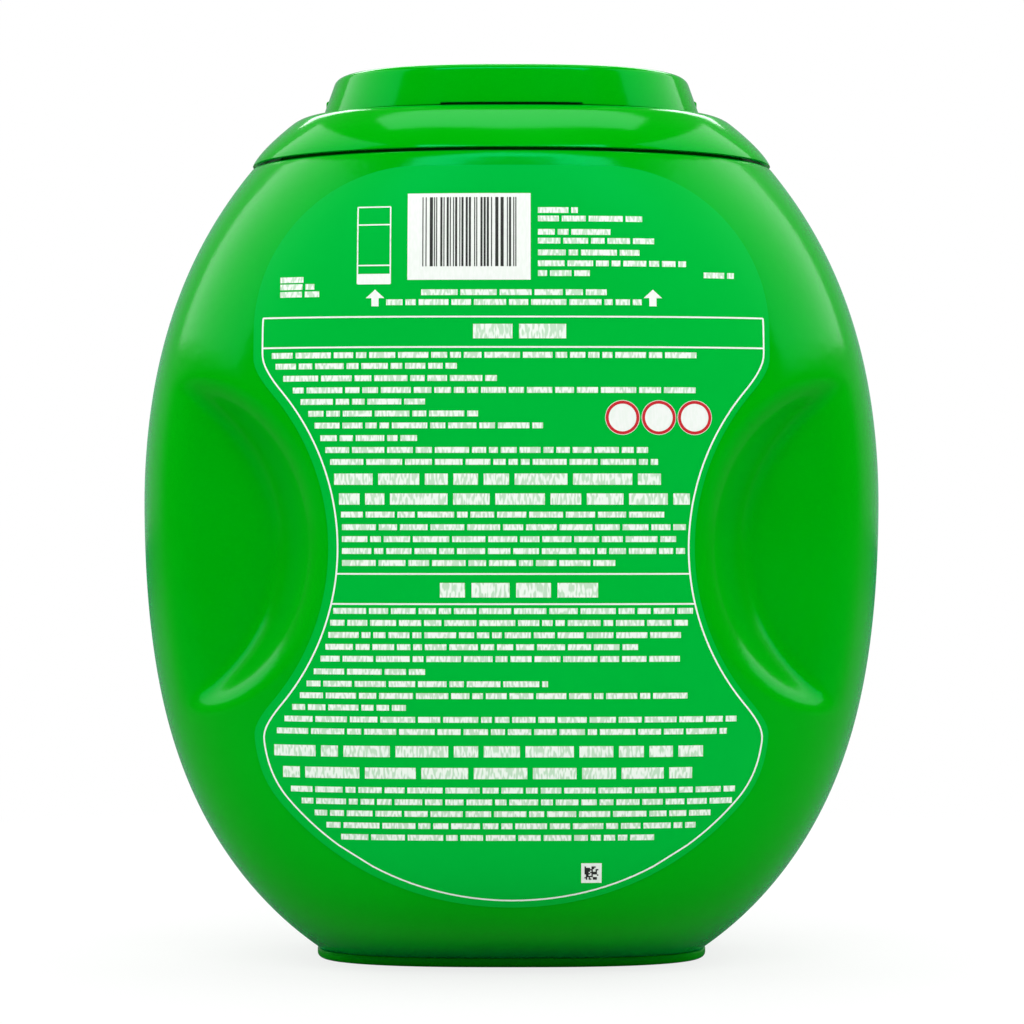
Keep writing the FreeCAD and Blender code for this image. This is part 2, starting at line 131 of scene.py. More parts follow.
def soft_box(name, place, wide, tall, watts):
    lamp = bpy.data.lights.new(name, "AREA")
    lamp.shape = "RECTANGLE"
    lamp.size = wide
    lamp.size_y = tall
    lamp.energy = watts
    holder = bpy.data.objects.new(name, lamp)
    bpy.context.scene.collection.objects.link(holder)
    holder.location = place
    holder.rotation_euler = (Vector(tub_middle) - Vector(place)).to_track_quat("-Z", "Y").to_euler()


soft_box("soft_left", (-1.1, 0.05, 0.95), 1.7, 0.9, 9.5)
soft_box("soft_right", (1.1, 0.05, 0.95), 1.7, 0.9, 9.5)
soft_box("soft_top", (0, 0.05, 1.4), 1.0, 0.3, 2.5)
soft_box("soft_front", (0, -1.5, 1.5), 1.8, 0.5, 19)
soft_box("soft_back", (0, 1.5, 1.5), 1.8, 0.5, 16)

camera_data = bpy.data.cameras.new("camera")
camera_data.sensor_width = 36.0
camera_data.lens = 113.24
camera_data.shift_x = 0.0005
camera_data.shift_y = -0.0117
camera_data.clip_start = 0.02
camera = bpy.data.objects.new("camera", camera_data)
bpy.context.scene.collection.objects.link(camera)
camera.location = (0, -1.05, 0.1479)
camera.rotation_euler = (math.radians(90), 0, 0)
bpy.context.scene.camera = camera
bpy.context.scene.view_settings.view_transform = "Standard"

# TUB
# The blown barrel: one thin-walled bottle of green polyethylene with a foot
# ring, a neck for the collar and four scoops that the fingers go round.
belly_half_width, belly_half_depth, belly_height = 118.0, 79.0, 147.0
foot_half_width, foot_half_depth, foot_height = 62.2, 31.2, 3.0
foot_stand_out, foot_land, foot_hollow = 0.8, 6, 1.6
foot_round, foot_root_round = 1.4, 0.5
rim_half_width, rim_half_depth, rim_height = 84.0, 70.0, 254.5
neck_half_width, neck_half_depth, neck_top = 75.0, 61.0, 262.0
neck_wall, neck_round = 1.8, 0.5
tub_wall, tub_floor = 1.6, 3.6
grip_out, grip_height, grip_floor, grip_root = 127.0, 133.4, 53.0, 56.0
grip_slope, grip_root_round, grip_lip_round = 2, 5.5, 7.0
foot_squareness, belly_squareness, rim_squareness = 2.7, 3.0, 2.2
tub_columns, outer_rows, inner_rows = 440, 148, 40


def oval_point(half_width, half_depth, squareness, turn):
    c, s = math.cos(turn), math.sin(turn)
    size = (abs(c) ** squareness + abs(s) ** squareness) ** (-1 / squareness)
    return half_width * c * size, half_depth * s * size


# the flanks curve in from the belly by shares of even powers of the way to the foot or the rim
def barrel_half_width(z):
    if z < belly_height:
        u = (belly_height - z) / (belly_height - foot_height)
        return belly_half_width - (belly_half_width - foot_half_width) * (0.445 * u ** 2 + 0.555 * u ** 4)
    u = (z - belly_height) / (rim_height - belly_height)
    return belly_half_width - (belly_half_width - rim_half_width) * (0.75 * u ** 2 + 0.25 * u ** 4)


def barrel_half_depth(z):
    if z < belly_height:
        u = (belly_height - z) / (belly_height - foot_height)
        return belly_half_depth - (belly_half_depth - foot_half_depth) * (0.2 * u ** 2 + 0.8 * u ** 12)
    u = (z - belly_height) / (rim_height - belly_height)
    return belly_half_depth - (belly_half_depth - rim_half_depth) * (0.6 * u ** 2 + 0.4 * u ** 4)


def barrel_squareness(z):
    if z < belly_height:
        way = (belly_height - z) / (belly_height - foot_height)
        return belly_squareness - (belly_squareness - foot_squareness) * way ** 6
    way = (z - belly_height) / (rim_height - belly_height)
    return belly_squareness - (belly_squareness - rim_squareness) * way ** 3


def smooth_min(a, b, blend):
    near = max(blend - abs(a - b), 0) / blend
    return min(a, b) - near * near * blend / 4


def scoop_face(x, z, wall):
    # how far out the grip's surface lies here, in |y|
    out = math.hypot(abs(x) - grip_out, z - grip_height) - grip_root - wall
    return grip_floor - wall - smooth_min(-grip_slope * out, 0, grip_root_round)


def inward(half_size, z, wall):
    return half_size(z) - wall * math.sqrt(1 + (half_size(z + 0.5) - half_size(z - 0.5)) ** 2)


def barrel_ring(z, wall, columns):
    wide, deep = inward(barrel_half_width, z, wall), inward(barrel_half_depth, z, wall)
    ring = []
    for i in range(columns):
        x, y = oval_point(wide, deep, barrel_squareness(z), 2 * math.pi * i / columns)
        ring.append((x, math.copysign(smooth_min(abs(y), scoop_face(x, z, wall), grip_lip_round), y), z))
    return ring


def oval_ring(wide, deep, squareness, z, columns):
    return [oval_point(wide, deep, squareness, 2 * math.pi * i / columns) + (z,) for i in range(columns)]


def skin_rings(points, faces, rings, poles=None):
    # closed skin through level rings of equal count, ending in two poles or joined end to start
    first, count = len(points), len(rings[0])
    for ring in rings:
        points.extend(ring)
    pairs = list(range(len(rings) - 1)) + ([] if poles else [-1])
    for row in pairs:
        low = first + (row % len(rings)) * count
        high = first + ((row + 1) % len(rings)) * count
        for i in range(count):
            j = (i + 1) % count
            faces.append((low + i, low + j, high + j, high + i))
    if poles:
        ends = ((first, poles[0], True), (first + (len(rings) - 1) * count, poles[1], False))
        for ring_start, pole, flip in ends:
            points.append(pole)
            for i in range(count):
                a, b = ring_start + i, ring_start + (i + 1) % count
                faces.append((b, a, len(points) - 1) if flip else (a, b, len(points) - 1))


def add_piece(name, points, faces, crease=32.0):
    # millimetres in, a smooth metre-sized object out
    mesh = bpy.data.meshes.new(name)
    mesh.from_pydata([(x / 1000, y / 1000, z / 1000) for x, y, z in points], [], faces)
    mesh.validate()
    mesh.polygons.foreach_set("use_smooth", [True] * len(mesh.polygons))
    mesh.set_sharp_from_angle(angle=math.radians(crease))
    piece = bpy.data.objects.new(name, mesh)
    bpy.context.scene.collection.objects.link(piece)
    return piece


def corner_ring(ring_at, corner, radius, start, end, steps):
    # rings round a rolled edge: corner is (inset centre, height centre)
    rings = []
    for k in range(steps + 1):
        angle = math.radians(start + (end - start) * k / steps)
        rings.append(ring_at(corner[0] - radius * math.cos(angle), corner[1] + radius * math.sin(angle)))
    return rings


def foot_ring_at(inset, z):
    return oval_ring(foot_half_width + foot_stand_out - inset, foot_half_depth + foot_stand_out - inset,
                     foot_squareness, z, tub_columns)


def neck_ring_at(inset, z):
    return oval_ring(neck_half_width - inset, neck_half_depth - inset, rim_squareness, z, tub_columns)


# outside, from the middle of the foot up to the neck
rings = [foot_ring_at(inset, foot_hollow) for inset in (20, foot_land)] + [foot_ring_at(foot_land, 0)]
rings += corner_ring(foot_ring_at, (foot_round, foot_round), foot_round, -90, 0, 5)
rings += corner_ring(foot_ring_at, (foot_root_round, foot_height - foot_root_round), foot_root_round, 0, 90, 3)
rim_edge = rim_height - 0.6
rings += [barrel_ring(foot_height + (rim_edge - foot_height) * k / outer_rows, 0, tub_columns)
          for k in range(outer_rows + 1)]
rings.append([(x * 0.9975, y * 0.9975, rim_height - 0.15)
              for x, y, _ in barrel_ring(rim_height - 0.1, 0, tub_columns)])
rings += [neck_ring_at(inset, rim_height) for inset in (-8.3, -4, 0)]
rings.append(neck_ring_at(0, neck_top - neck_round))
rings += corner_ring(neck_ring_at, (neck_round, neck_top - neck_round), neck_round, 30, 90, 2)
# and back down inside, one wall in
inner_top = rim_height - tub_wall
rings += [neck_ring_at(neck_wall, neck_top), neck_ring_at(neck_wall, inner_top)]
rings += [barrel_ring(inner_top - (inner_top - tub_floor) * k / inner_rows, tub_wall, tub_columns)
          for k in range(inner_rows + 1)]
points, faces = [], []
skin_rings(points, faces, rings, [(0, 0, foot_hollow), (0, 0, tub_floor)])
tub = add_piece("blown_tub", points, faces)


def shared_group(name, takes, gives):
    group = bpy.data.node_groups.new(name, "ShaderNodeTree")
    for label, kind, value in takes:
        socket = group.interface.new_socket(name=label, in_out="INPUT", socket_type=kind)
        socket.default_value = value
    for label, kind in gives:
        group.interface.new_socket(name=label, in_out="OUTPUT", socket_type=kind)
    return group, group.nodes.new("NodeGroupInput"), group.nodes.new("NodeGroupOutput")


# what moulded plastic shows close up: cloudy colour, rougher where it is paler, and a faint orange peel
cloud_group, taken, given = shared_group("moulded_skin",
    [("Pigment", "NodeSocketColor", (0, 0.4, 0, 1)), ("Thin Pigment", "NodeSocketColor", (0, 0.5, 0, 1)),
     ("Cloud Size", "NodeSocketFloat", 30.0), ("Gloss", "NodeSocketFloat", 0.25),
     ("Peel Size", "NodeSocketFloat", 500.0), ("Peel Depth", "NodeSocketFloat", 0.02)],
    [("Colour", "NodeSocketColor"), ("Roughness", "NodeSocketFloat"), ("Normal", "NodeSocketVector")])
nodes, links = cloud_group.nodes, cloud_group.links
place = nodes.new("ShaderNodeTexCoord")
cloud = nodes.new("ShaderNodeTexNoise")
cloud.inputs["Detail"].default_value = 3.0
tone = nodes.new("ShaderNodeMix")
tone.data_type = "RGBA"
links.new(place.outputs["Object"], cloud.inputs["Vector"])
links.new(taken.outputs["Cloud Size"], cloud.inputs["Scale"])
links.new(cloud.outputs["Fac"], tone.inputs["Factor"])
links.new(taken.outputs["Pigment"], tone.inputs["A"])
links.new(taken.outputs["Thin Pigment"], tone.inputs["B"])
links.new(tone.outputs["Result"], given.inputs["Colour"])
haze = nodes.new("ShaderNodeMath")
haze.operation = "MULTIPLY_ADD"
haze.inputs[1].default_value = 0.08
links.new(cloud.outputs["Fac"], haze.inputs[0])
links.new(taken.outputs["Gloss"], haze.inputs[2])
links.new(haze.outputs[0], given.inputs["Roughness"])
peel = nodes.new("ShaderNodeTexNoise")
peel.inputs["Detail"].default_value = 1.0
bump = nodes.new("ShaderNodeBump")
bump.inputs["Distance"].default_value = 0.0002
links.new(place.outputs["Object"], peel.inputs["Vector"])
links.new(taken.outputs["Peel Size"], peel.inputs["Scale"])
links.new(taken.outputs["Peel Depth"], bump.inputs["Strength"])
links.new(peel.outputs["Fac"], bump.inputs["Height"])
links.new(bump.outputs["Normal"], given.inputs["Normal"])

# the tint of the light that the green plastics throw back
mint = (0.0, 1.0, 0.6, 1)


def moulded(name, pigment, thin, cloud_size, gloss, peel_size, peel_depth, level, bloom):
    material, nodes, links = new_material(name)
    out = nodes.new("ShaderNodeOutputMaterial")
    shell = nodes.new("ShaderNodeBsdfPrincipled")
    shell.inputs["Specular IOR Level"].default_value = level
    shell.inputs["Specular Tint"].default_value = mint
    shell.inputs["Sheen Weight"].default_value = bloom
    shell.inputs["Sheen Roughness"].default_value = 0.3
    shell.inputs["Sheen Tint"].default_value = mint
    skin = nodes.new("ShaderNodeGroup")
    skin.node_tree = cloud_group
    skin.inputs["Pigment"].default_value = pigment
    skin.inputs["Thin Pigment"].default_value = thin
    skin.inputs["Cloud Size"].default_value = cloud_size
    skin.inputs["Gloss"].default_value = gloss
    skin.inputs["Peel Size"].default_value = peel_size
    skin.inputs["Peel Depth"].default_value = peel_depth
    links.new(skin.outputs["Colour"], shell.inputs["Base Color"])
    links.new(skin.outputs["Roughness"], shell.inputs["Roughness"])
    links.new(skin.outputs["Normal"], shell.inputs["Normal"])
    links.new(shell.outputs[0], out.inputs["Surface"])
    return material


tub_green = moulded("tub_polyethylene", (0, 0.37, 0, 1), (0, 0.41, 0.001, 1), cloud_size=26, gloss=0.12,
                    peel_size=260, peel_depth=0.2, level=0.3, bloom=0.2)
tub.data.materials.append(tub_green)
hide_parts("tub")
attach(tub, "tub_body")

# BACK LABEL
# A printed plastic film moulded onto the back of the tub: full at the top,
# cut back at the waist round the two grips, and round at the bottom.
film_thickness, film_glue = 0.25, 0.03
film_side, film_top, shoulder_arc, waist_arc = 78.7, 249.8, 50.0, 71.6
bottom_arc, bottom_arc_height = 93.5, 116.9
waist_blend, bottom_blend = 6.0, 8.0
shoulder_height = film_top - shoulder_arc
film_columns = 110


def barrel_face(x, z):
    # |y| of the tub's outside at this place
    wide = barrel_half_width(z)
    square = barrel_squareness(z)
    y = barrel_half_depth(z) * max(0.0, 1 - (abs(x) / wide) ** square) ** (1 / square)
    return smooth_min(y, scoop_face(x, z, 0), grip_lip_round)


def film_half_width(z, inset):
    # half the film's width at this height, or of a line printed inset from its edge
    if z > shoulder_height:
        rise = z - shoulder_height
        return film_side - shoulder_arc + math.sqrt(max(0.0, (shoulder_arc - inset) ** 2 - rise ** 2))
    half = film_side - inset
    waist = waist_arc + inset
    if abs(z - grip_height) < waist:
        half = smooth_min(half, grip_out - math.sqrt(waist ** 2 - (z - grip_height) ** 2), waist_blend)
    if z < bottom_arc_height:
        drop = z - bottom_arc_height
        half = smooth_min(half, math.sqrt(max(0.0, (bottom_arc - inset) ** 2 - drop ** 2)), bottom_blend)
    return half


# level rows of the film: by degrees round its bottom arc, in even steps up its sides, by degrees over its shoulders
film_heights = [bottom_arc_height - bottom_arc * math.cos(math.radians(a)) for a in
                [0.6, 1.5, 3] + [5 + 2.2 * k for k in range(24)]]
film_heights += [66.0 + 1.8 * k for k in range(74)]
film_heights += [shoulder_height + shoulder_arc * math.sin(math.radians(2 + 3.5 * k)) for k in range(25)]
film_heights += [film_top]
points, faces = [], []
for lift in (film_thickness, film_glue):
    for z in film_heights:
        half = max(0.5, film_half_width(z, 0))
        for k in range(film_columns + 1):
            across = 2 * k / film_columns - 1
            x = half * (0.35 * math.sin(math.pi / 2 * across) + 0.65 * across)
            points.append((x, -barrel_face(x, z) - lift, z))
row = film_columns + 1
sheet = row * len(film_heights)
for r in range(len(film_heights) - 1):
    for k in range(film_columns):
        a = r * row + k
        faces.append((a, a + 1, a + row + 1, a + row))
        faces.append((sheet + a + row, sheet + a + row + 1, sheet + a + 1, sheet + a))
border = list(range(row)) + [r * row + film_columns for r in range(1, len(film_heights))]
border += [sheet - 1 - k for k in range(1, row)] + [r * row for r in range(len(film_heights) - 2, 0, -1)]
for a, b in zip(border, border[1:] + border[:1]):
    faces.append((b, a, sheet + a, sheet + b))
label = add_piece("label_film", points, faces)
label_green = moulded("label_polypropylene", (0, 0.44, 0.032, 1), (0, 0.462, 0.038, 1), cloud_size=18, gloss=0.32,
                      peel_size=420, peel_depth=0.1, level=0.15, bloom=0.04)
label.data.materials.append(label_green)
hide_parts("back_label")
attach(label, "tub_body")

# PRINT ON THE LABEL
# White ink on the film: ruled panels, plain blocks of set lines, a pattern of
# upright bars on a white field and simple discs. No words are drawn.
ink_lift = film_thickness + 0.05
over_ink_lift = ink_lift + 0.04
ink_step, rule_step = 3.0, 2.5
rule_inset, rule_shift, rule_width, fine_rule_width = 2.35, 0.5, 0.5, 0.4
panel_rules = (203.3, 194.1, 125.6, 116.5)
line_margin = 3.0
box_left, box_right, box_low, box_high = -46.7, -36.7, 213.4, 237.0
box_fill, box_inner_low, box_inner_high = 216.4, 219.0, 231.5
bar_field, cell_field = (-31.5, 5.8, 214.5, 241.0), (21.2, 27.4, 31.4, 37.6)
disc_places, disc_height, disc_radius, ring_radii = (33.5, 44.5, 55.4), 172.8, 5.25, (4.2, 5.1)
arrow_places, arrow_tip, arrow_neck, arrow_foot = (-41.3, 42.8), 211.6, 209.0, 206.5
bars_left, bars_right, bars_low, bars_high = -27.0, 1.5, 218.6, 239.8
bar_widths = (0.32, 0.32, 0.64, 0.96)
cells_left, cells_low, cell, cells = 22.2, 32.4, 0.42, 10


def on_film(x, z, lift=ink_lift):
    return (x, -barrel_face(x, z) - lift, z)


def ink_patch(points, faces, x_low, x_high, z_low, z_high, lift=ink_lift):
    columns = max(1, round((x_high - x_low) / ink_step))
    rows = max(1, round((z_high - z_low) / ink_step))
    first = len(points)
    for r in range(rows + 1):
        for k in range(columns + 1):
            x, z = x_low + (x_high - x_low) * k / columns, z_low + (z_high - z_low) * r / rows
            points.append(on_film(x, z, lift))
    for r in range(rows):
        for k in range(columns):
            a = first + r * (columns + 1) + k
            faces.append((a, a + 1, a + columns + 2, a + columns + 1))


def ink_line(points, faces, corners, width):
    path = corners[:1]
    for (xa, za), (xb, zb) in zip(corners, corners[1:]):
        parts = max(1, round(math.hypot(xb - xa, zb - za) / rule_step))
        path += [(xa + (xb - xa) * k / parts, za + (zb - za) * k / parts) for k in range(1, parts + 1)]
    first = len(points)
    for k, (x, z) in enumerate(path):
        xa, za = path[max(0, k - 1)]
        xb, zb = path[min(len(path) - 1, k + 1)]
        size = math.hypot(xb - xa, zb - za)
        nx, nz = -(zb - za) / size * width / 2, (xb - xa) / size * width / 2
        points += [on_film(x + nx, z + nz), on_film(x - nx, z - nz)]
    for k in range(len(path) - 1):
        a = first + 2 * k
        faces.append((a, a + 1, a + 3, a + 2))


def ink_round(x, z, radius, lift=ink_lift):
    turns = [math.radians(10 * k) for k in range(36)]
    return [on_film(x + radius * math.cos(turn), z + radius * math.sin(turn), lift) for turn in turns]


def ruled_box(points, faces, left, right, low, high):
    for start, end in (((left, low), (left, high)), ((right, low), (right, high)),
                       ((left, low), (right, low)), ((left, high), (right, high))):
        ink_line(points, faces, [start, end], fine_rule_width)


# one set line: height, left end, right end
small_lines = [(233.2, 8.0, 39.7), (226.4, 8.0, 43.3), (235.8, 8.0, 20.1), (229.1, 8.0, 30.0), (222.8, 8.0, 38.8),
               (219.5, 8.0, 53.0), (216.5, 8.0, 23.7), (214.9, -70.5, -63.3), (212.7, -70.5, -59.9),
               (210.4, -70.5, -58.4), (216.2, 58.4, 67.8), (210.7, -27.3, 28.8), (207.7, -37.9, 39.4),
               (191.7, -72.9, 56.0), (188.4, -71.7, -16.5), (184.7, -69.3, -4.4), (181.1, -66.3, 55.7),
               (177.6, -63.9, -26.1), (174.0, -61.5, -10.1), (170.4, -59.6, 9.5), (166.6, -57.8, -28.5),
               (163.0, -56.3, 41.2), (159.4, -54.8, 44.2), (143.5, -51.5, 46.1), (139.7, -51.2, 54.8),
               (136.1, -51.2, 49.7), (132.5, -51.2, 53.9), (128.9, -51.2, 31.3), (114.4, -53.9, 55.1),
               (110.8, -54.8, 53.3), (107.1, -55.4, 51.2), (103.5, -56.3, 38.2), (99.9, -57.8, 50.9),
               (96.0, -59.9, -26.1), (92.3, -62.1, 11.0), (88.7, -64.2, 53.3), (85.1, -66.6, -31.9),
               (81.5, -69.0, 68.4), (77.8, -71.4, 65.4), (60.0, -67.2, 68.1), (56.4, -63.9, 67.2),
               (52.8, -59.9, 60.6), (49.1, -56.3, 56.0), (45.5, -51.8, 43.3)]
tall_lines = [(154.2, -53.6, 45.1), (148.2, -52.1, 54.2), (71.8, -72.3, 58.1), (65.2, -69.6, 54.8)]
heading_lines = [(198.9, -11.6, 16.5), (120.7, -21.6, 26.1)]
points, faces = [], []
chance = random.Random(11)
# each size of line: its height, its shortest and longest block, and the gap between blocks
for lines, tall, block_low, block_high, gap in (
        (small_lines, 1.75, 2.5, 11.0, 0.9), (tall_lines, 3.4, 5.0, 18.0, 1.7), (heading_lines, 4.4, 6.0, 12.0, 2.0)):
    for z, left, right in lines:
        room = film_half_width(z, line_margin)
        x, right = max(left, -room), min(right, room)
        while x < right - 1.0:
            end = min(right, x + chance.uniform(block_low, block_high))
            if right - end < block_low:
                end = right
            ink_patch(points, faces, x, end, z - tall / 2, z + tall / 2)
            x = end + gap
set_lines = add_piece("printed_lines", points, faces)

points, faces = [], []
rule_arc = bottom_arc - rule_inset
side = [(film_half_width(z, rule_inset), z) for z in [panel_rules[0] - 1.5 * k for k in range(108)]]
low = [(rule_arc * math.sin(math.radians(a)), bottom_arc_height - rule_arc * math.cos(math.radians(a)))
       for a in range(28, -1, -2)]
for mirror in (-1, 1):
    ink_line(points, faces, [(mirror * x + rule_shift * min(1, x / 10), z) for x, z in side + low], rule_width)
for z in panel_rules:
    half = film_half_width(z, rule_inset)
    ink_line(points, faces, [(rule_shift - half, z), (rule_shift + half, z)], rule_width)
ruled_box(points, faces, box_left, box_right, box_low, box_high)
ruled_box(points, faces, box_left, box_right, box_inner_low, box_inner_high)
ink_patch(points, faces, box_left, box_right, box_low, box_fill)
ink_patch(points, faces, *bar_field)
ink_patch(points, faces, *cell_field)
for x in disc_places:
    first = len(points)
    points.append(on_film(x, disc_height))
    points += ink_round(x, disc_height, disc_radius)
    faces += [(first, first + 1 + k, first + 1 + (k + 1) % 36) for k in range(36)]
for x in arrow_places:
    first = len(points)
    points += [on_film(x, arrow_tip), on_film(x - 2.8, arrow_neck), on_film(x + 2.8, arrow_neck)]
    points += [on_film(x + aside, z) for z in (arrow_neck, arrow_foot) for aside in (-1.1, 1.1)]
    faces += [(first, first + 1, first + 2), (first + 3, first + 5, first + 6, first + 4)]
solid_ink = add_piece("printed_panels", points, faces)

points, faces = [], []
x = bars_left
chance = random.Random(4)
while x < bars_right:
    wide = chance.choice(bar_widths)
    ink_patch(points, faces, x, x + wide, bars_low, bars_high, over_ink_lift)
    x += wide + chance.choice(bar_widths)
for row_number in range(cells):
    for column_number in range(cells):
        if chance.random() < 0.5:
            x, z = cells_left + cell * column_number, cells_low + cell * row_number
            ink_patch(points, faces, x, x + cell, z, z + cell, over_ink_lift)
bars = add_piece("printed_bars", points, faces)

points, faces = [], []
for x in disc_places:
    first = len(points)
    for radius in ring_radii:
        points += ink_round(x, disc_height, radius, over_ink_lift)
    faces += [(first + k, first + (k + 1) % 36, first + 36 + (k + 1) % 36, first + 36 + k) for k in range(36)]
rings_of_ink = add_piece("printed_rings", points, faces)


def ink(name, colour, under, streak):
    # ink that lies thin in places, so the film shows through between fine strokes
    material, nodes, links = new_material(name)
    out = nodes.new("ShaderNodeOutputMaterial")
    coat = nodes.new("ShaderNodeBsdfPrincipled")
    coat.inputs["Specular IOR Level"].default_value = 0.35
    place = nodes.new("ShaderNodeTexCoord")
    stretch = nodes.new("ShaderNodeMapping")
    stretch.inputs["Scale"].default_value = (1500, 1500, 420)
    strokes = nodes.new("ShaderNodeTexNoise")
    strokes.inputs["Scale"].default_value = 1.0
    strokes.inputs["Detail"].default_value = 0.0
    cover = nodes.new("ShaderNodeMapRange")
    cover.inputs["From Min"].default_value = 0.40
    cover.inputs["From Max"].default_value = 0.56
    cover.inputs["To Min"].default_value = streak
    tone = nodes.new("ShaderNodeMix")
    tone.data_type = "RGBA"
    tone.inputs["A"].default_value = under
    tone.inputs["B"].default_value = colour
    gloss = nodes.new("ShaderNodeMapRange")
    gloss.inputs["To Min"].default_value = 0.32
    gloss.inputs["To Max"].default_value = 0.45
    links.new(place.outputs["Object"], stretch.inputs["Vector"])
    links.new(stretch.outputs["Vector"], strokes.inputs["Vector"])
    links.new(strokes.outputs["Fac"], cover.inputs["Value"])
    links.new(cover.outputs["Result"], tone.inputs["Factor"])
    links.new(cover.outputs["Result"], gloss.inputs["Value"])
    links.new(tone.outputs["Result"], coat.inputs["Base Color"])
    links.new(gloss.outputs["Result"], coat.inputs["Roughness"])
    links.new(coat.outputs[0], out.inputs["Surface"])
    return material


film_shade = (0, 0.44, 0.035, 1)
set_lines.data.materials.append(ink("white_ink_fine", (0.86, 0.95, 0.86, 1), film_shade, 0.62))
solid_ink.data.materials.append(ink("white_ink_solid", (0.88, 0.92, 0.88, 1), (0.8, 0.88, 0.8, 1), 0.6))
bars.data.materials.append(ink("black_ink", (0.02, 0.02, 0.02, 1), (0.03, 0.05, 0.03, 1), 0.6))
rings_of_ink.data.materials.append(ink("red_ink", (0.6, 0.01, 0.02, 1), (0.5, 0.02, 0.02, 1), 0.6))
for piece in (set_lines, solid_ink, bars, rings_of_ink):
    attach(piece, "tub_body")

# COLLAR
# An injection-moulded polypropylene ring pushed over the tub's neck. It domes
# in to a flat landing, the lip of the mouth and two ears that hold the lid.
collar_foot, landing, collar_wall = 255.5, 270.0, 1.6
collar_draw_in_wide, collar_draw_in_deep, collar_bow, crest_round = 15.0, 12.5, 1.3, 2.0
mouth_half_width, mouth_half_depth, mouth_squareness = 50.5, 44.5, 2.6
landing_wide, landing_deep = 16.0, 10.5
mouth_lip, mouth_wall, mouth_round = 279.5, 1.5, 0.5
slot_near, slot_far, slot_half, slot_low, slot_high = 51.25, 56.05, 5.3, 266.8, 271.0
hinge_y, hinge_z = -52.9, 272.6
ear_near, ear_far, ear_eye_radius = 8.3, 12.0, 0.75
arm_out, arm_in, arm_below, arm_above, leg_out = 0.3, 4.2, 0.5, 0.7, 3.0
collar_columns, collar_rows, round_steps = 360, 22, 8


def collar_ring(z, wall, inset):
    rise = max(0.0, (z - collar_foot) / (landing - collar_foot))
    turn_in = rise ** collar_bow
    return oval_ring(rim_half_width - collar_draw_in_wide * turn_in - wall - inset,
                     rim_half_depth - collar_draw_in_deep * turn_in - wall - inset,
                     rim_squareness + (mouth_squareness - rim_squareness) * min(1.0, rise), z - (wall / 2),
                     collar_columns)


def mouth_ring(inset, z):
    return oval_ring(mouth_half_width - inset, mouth_half_depth - inset, mouth_squareness, z, collar_columns)


def level(ring, z):
    return [(x, y, z) for x, y, _ in ring]


# outside, from the foot over the dome to the landing and the lip of the mouth
crest = landing - crest_round
rings = [level(collar_ring(collar_foot, 0, 0.4), collar_foot)]
rings += [collar_ring(collar_foot + 0.2 + (crest - collar_foot - 0.2) * k / collar_rows, 0, 0)
          for k in range(collar_rows + 1)]
for k in range(1, round_steps + 1):
    a = math.radians(90 * k / round_steps)
    rings.append(collar_ring(crest + crest_round * math.sin(a), 0, crest_round * (1 - math.cos(a))))
rings += [oval_ring(mouth_half_width + f * landing_wide, mouth_half_depth + f * landing_deep, mouth_squareness,
                    landing, collar_columns) for f in (0.75, 0.5, 0.25, 0.03)]
lip_edge = mouth_lip - mouth_round
rings += [mouth_ring(0, landing + 0.5), mouth_ring(0, lip_edge)]
rings += corner_ring(mouth_ring, (mouth_round, lip_edge), mouth_round, 30, 90, 2)
# and back down inside, one wall in
underside = landing - collar_wall
rings += [mouth_ring(1.0, mouth_lip), mouth_ring(1.4, mouth_lip - 0.15), mouth_ring(mouth_wall, lip_edge),
          mouth_ring(mouth_wall, underside)]
for k in range(round_steps, -1, -1):
    a = math.radians(90 * k / round_steps)
    rings.append(level(collar_ring(underside - crest_round + collar_wall / 2, collar_wall,
                                   crest_round * (1 - math.cos(a))), underside - crest_round * (1 - math.sin(a))))
rings += [level(collar_ring(z + collar_wall / 2, collar_wall, 0), z) for z in (265.0, 263.0, 261.0, 259.0, 257.0)]
rings += [level(collar_ring(collar_foot, collar_wall, 0), collar_foot)]
points, faces = [], []
skin_rings(points, faces, rings)
# the hoop inside, pushed over the neck
skin_rings(points, faces, [oval_ring(w, d, rim_squareness, z, collar_columns) for w, d, z in (
    (75.3, 61.3, 255.8), (76.7, 62.7, 255.8), (76.7, 62.7, 262.3), (74.9, 60.9, 264.6), (73.2, 59.2, 265.0),
    (73.2, 59.2, 262.0), (75.3, 61.3, 262.0))])


def rod_along_x(points, faces, radius, x_low, x_high, y, z, sides=32, edge=0.15):
    # a rod with its two end edges taken off
    first = len(points)
    stations = ((x_low, radius - edge), (x_low + edge, radius), (x_high - edge, radius), (x_high, radius - edge))
    for x, r in stations:
        for k in range(sides):
            a = 2 * math.pi * k / sides
            points.append((x, y + r * math.cos(a), z + r * math.sin(a)))
    for s in range(3):
        for k in range(sides):
            a, b = first + s * sides + k, first + s * sides + (k + 1) % sides
            faces.append((b, a, a + sides, b + sides))
    faces.append(tuple(first + k for k in range(sides)))
    faces.append(tuple(first + 3 * sides + k for k in reversed(range(sides))))


def block(points, faces, x_low, x_high, y_low, y_high, z_low, z_high):
    first = len(points)
    points += [(x, y, z) for z in (z_low, z_high) for y in (y_low, y_high) for x in (x_low, x_high)]
    for f in ((0, 2, 3, 1), (4, 5, 7, 6), (0, 1, 5, 4), (2, 6, 7, 3), (0, 4, 6, 2), (1, 3, 7, 5)):
        faces.append(tuple(first + i for i in f))


